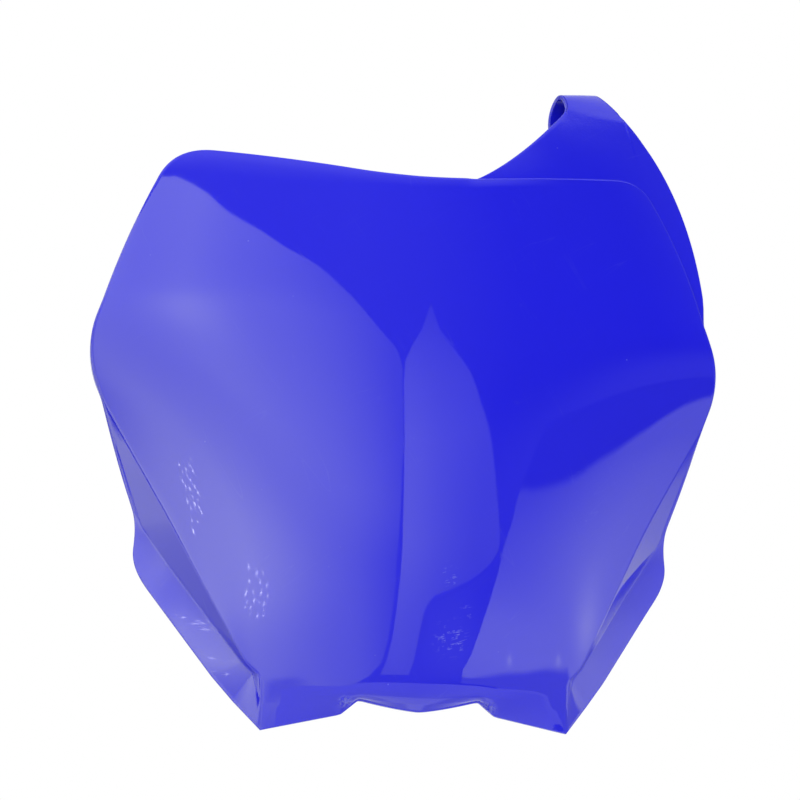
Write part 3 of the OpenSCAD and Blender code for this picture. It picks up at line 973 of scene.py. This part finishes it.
def calc(op, a, b=0.0):
    return put("Math", [(0, a), (1, b)], operation=op).outputs[0]


def times(a, b):
    return calc("MULTIPLY", a, b)


def total(*parts):
    v = parts[0]
    for p in parts[1:]:
        v = calc("ADD", v, p)
    return v


def noise(scale, detail=2.0, vec=place):
    return put("TexNoise", [("Vector", vec), ("Scale", scale), ("Detail", detail)]).outputs[0]


def band(v, low, high, a=0.0, b=1.0):
    """a where v is below low, b where it is above high, and a soft step between."""
    limits = [("From Min", low), ("From Max", high), ("To Min", a), ("To Max", b)]
    return put("MapRange", [("Value", v)] + limits, interpolation_type="SMOOTHSTEP").outputs[0]


def spot(x, y, z, inner, outer):
    """1 close to a place on the board, 0 away from it."""
    d = put("VectorMath", [(0, place), (1, (x, y, z))], operation="DISTANCE").outputs["Value"]
    return band(d, inner, outer, 1.0, 0.0)


def scratches(turn_y, scale, stretch, wide, gaps):
    """Thin broken lines across the face, leaning by turn_y."""
    vec = put("Mapping", [("Vector", place), ("Rotation", (0.0, turn_y, 0.0))]).outputs[0]
    vec = put("Mapping", [("Vector", vec), ("Scale", (stretch, 1.0, 1.0))]).outputs[0]
    line = band(calc("ABSOLUTE", calc("SUBTRACT", noise(scale, 1.0, vec), 0.5)), 0.0, wide, 1.0, 0.0)
    return times(line, band(noise(gaps), 0.5, 0.62))


# Places rubbed or nicked: low in the middle of the front, and at both corners of the notch.
rubbed = calc("MAXIMUM", spot(0.0103, -0.0257, -0.1441, 0.003, 0.0085),
              spot(0.0096, -0.0288, -0.1214, 0.001, 0.006))
rubbed = calc("MAXIMUM", rubbed, spot(0.0155, -0.0264, -0.1345, 0.001, 0.004))
facing = put("SeparateXYZ", [(0, coordinates["Normal"])]).outputs["Y"]
rubbed = times(rubbed, band(facing, -0.5, -0.2, 1.0, 0.0))
nicked = calc("MAXIMUM", spot(-0.0275, -0.0175, -0.1668, 0.0008, 0.0035),
              spot(0.0262, -0.0155, -0.1680, 0.0008, 0.004))
hook = spot(0.078, -0.005, 0.094, 0.012, 0.05)
# Painted shade: the base colour darkens round the fin and the hook, where less light falls.
painted_shade_round_fin = spot(0.088, -0.008, 0.085, 0.0, 0.11)

# Hair scratches, rubbed strokes, small specks and torn edges.
hair = calc("MAXIMUM", scratches(0.5, 9.0, 16.0, 0.006, 42.0), scratches(-0.9, 7.0, 20.0, 0.005, 35.0))
strokes = times(scratches(1.85, 60.0, 11.0, 0.06, 420.0), rubbed)
dots = put("TexVoronoi", [("Vector", place), ("Scale", 150.0)]).outputs["Distance"]
specks = times(band(dots, 0.03, 0.07, 1.0, 0.0), band(noise(55.0, 1.0), 0.58, 0.66))
burr = times(nicked, band(noise(900.0), 0.42, 0.6))

# Colour: two blues, the darker one for random tone and for painted shade round the fin and the hook,
# with a pale one where the plastic is marked.
DEEP_BLUE = (0.011, 0.0105, 0.75, 1)
TONE_AND_SHADE_BLUE = (0.016, 0.022, 0.42, 1)
PALE_BLUE = (0.30, 0.33, 0.80, 1)
# Random tone, plus the painted shade round the fin and the hook.
shade = total(times(band(noise(8.0), 0.3, 0.7), 0.05), times(painted_shade_round_fin, 0.16))
base = put("Mix", [("Factor", shade), ("A", DEEP_BLUE), ("B", TONE_AND_SHADE_BLUE)], data_type="RGBA")
pale = total(times(hair, 0.022), times(strokes, 0.3), times(specks, 0.16), times(burr, 0.35))
tone = put("Mix", [("Factor", pale), ("B", PALE_BLUE)], data_type="RGBA")
plastic_tree.links.new(base.outputs["Result"], tone.inputs["A"])
plastic_tree.links.new(tone.outputs["Result"], plastic_inputs["Base Color"])
rough = total(band(noise(26.0, 3.0), 0.3, 0.7, 0.025, 0.04), times(hair, 0.05), times(strokes, 0.3),
              times(specks, 0.3), times(nicked, 0.25), times(hook, 0.16))
plastic_tree.links.new(rough, plastic_inputs["Roughness"])

# Relief: the moulding's slight waves, its fine skin, scratches, strokes, the hook's grain and the nicks.
relief = None
for height, depth in ((noise(24.0, 1.0), 3e-5), (noise(900.0), 1.5e-7), (hair, -3e-6), (strokes, -1.5e-5),
                      (times(noise(1100.0, 3.0), hook), 6e-5), (burr, 2e-4)):
    inputs = [("Height", height), ("Strength", 1.0), ("Distance", depth)]
    if relief:
        inputs.append(("Normal", relief))
    relief = put("Bump", inputs).outputs[0]
plastic_tree.links.new(relief, plastic_inputs["Normal"])
mesh.materials.append(plastic)
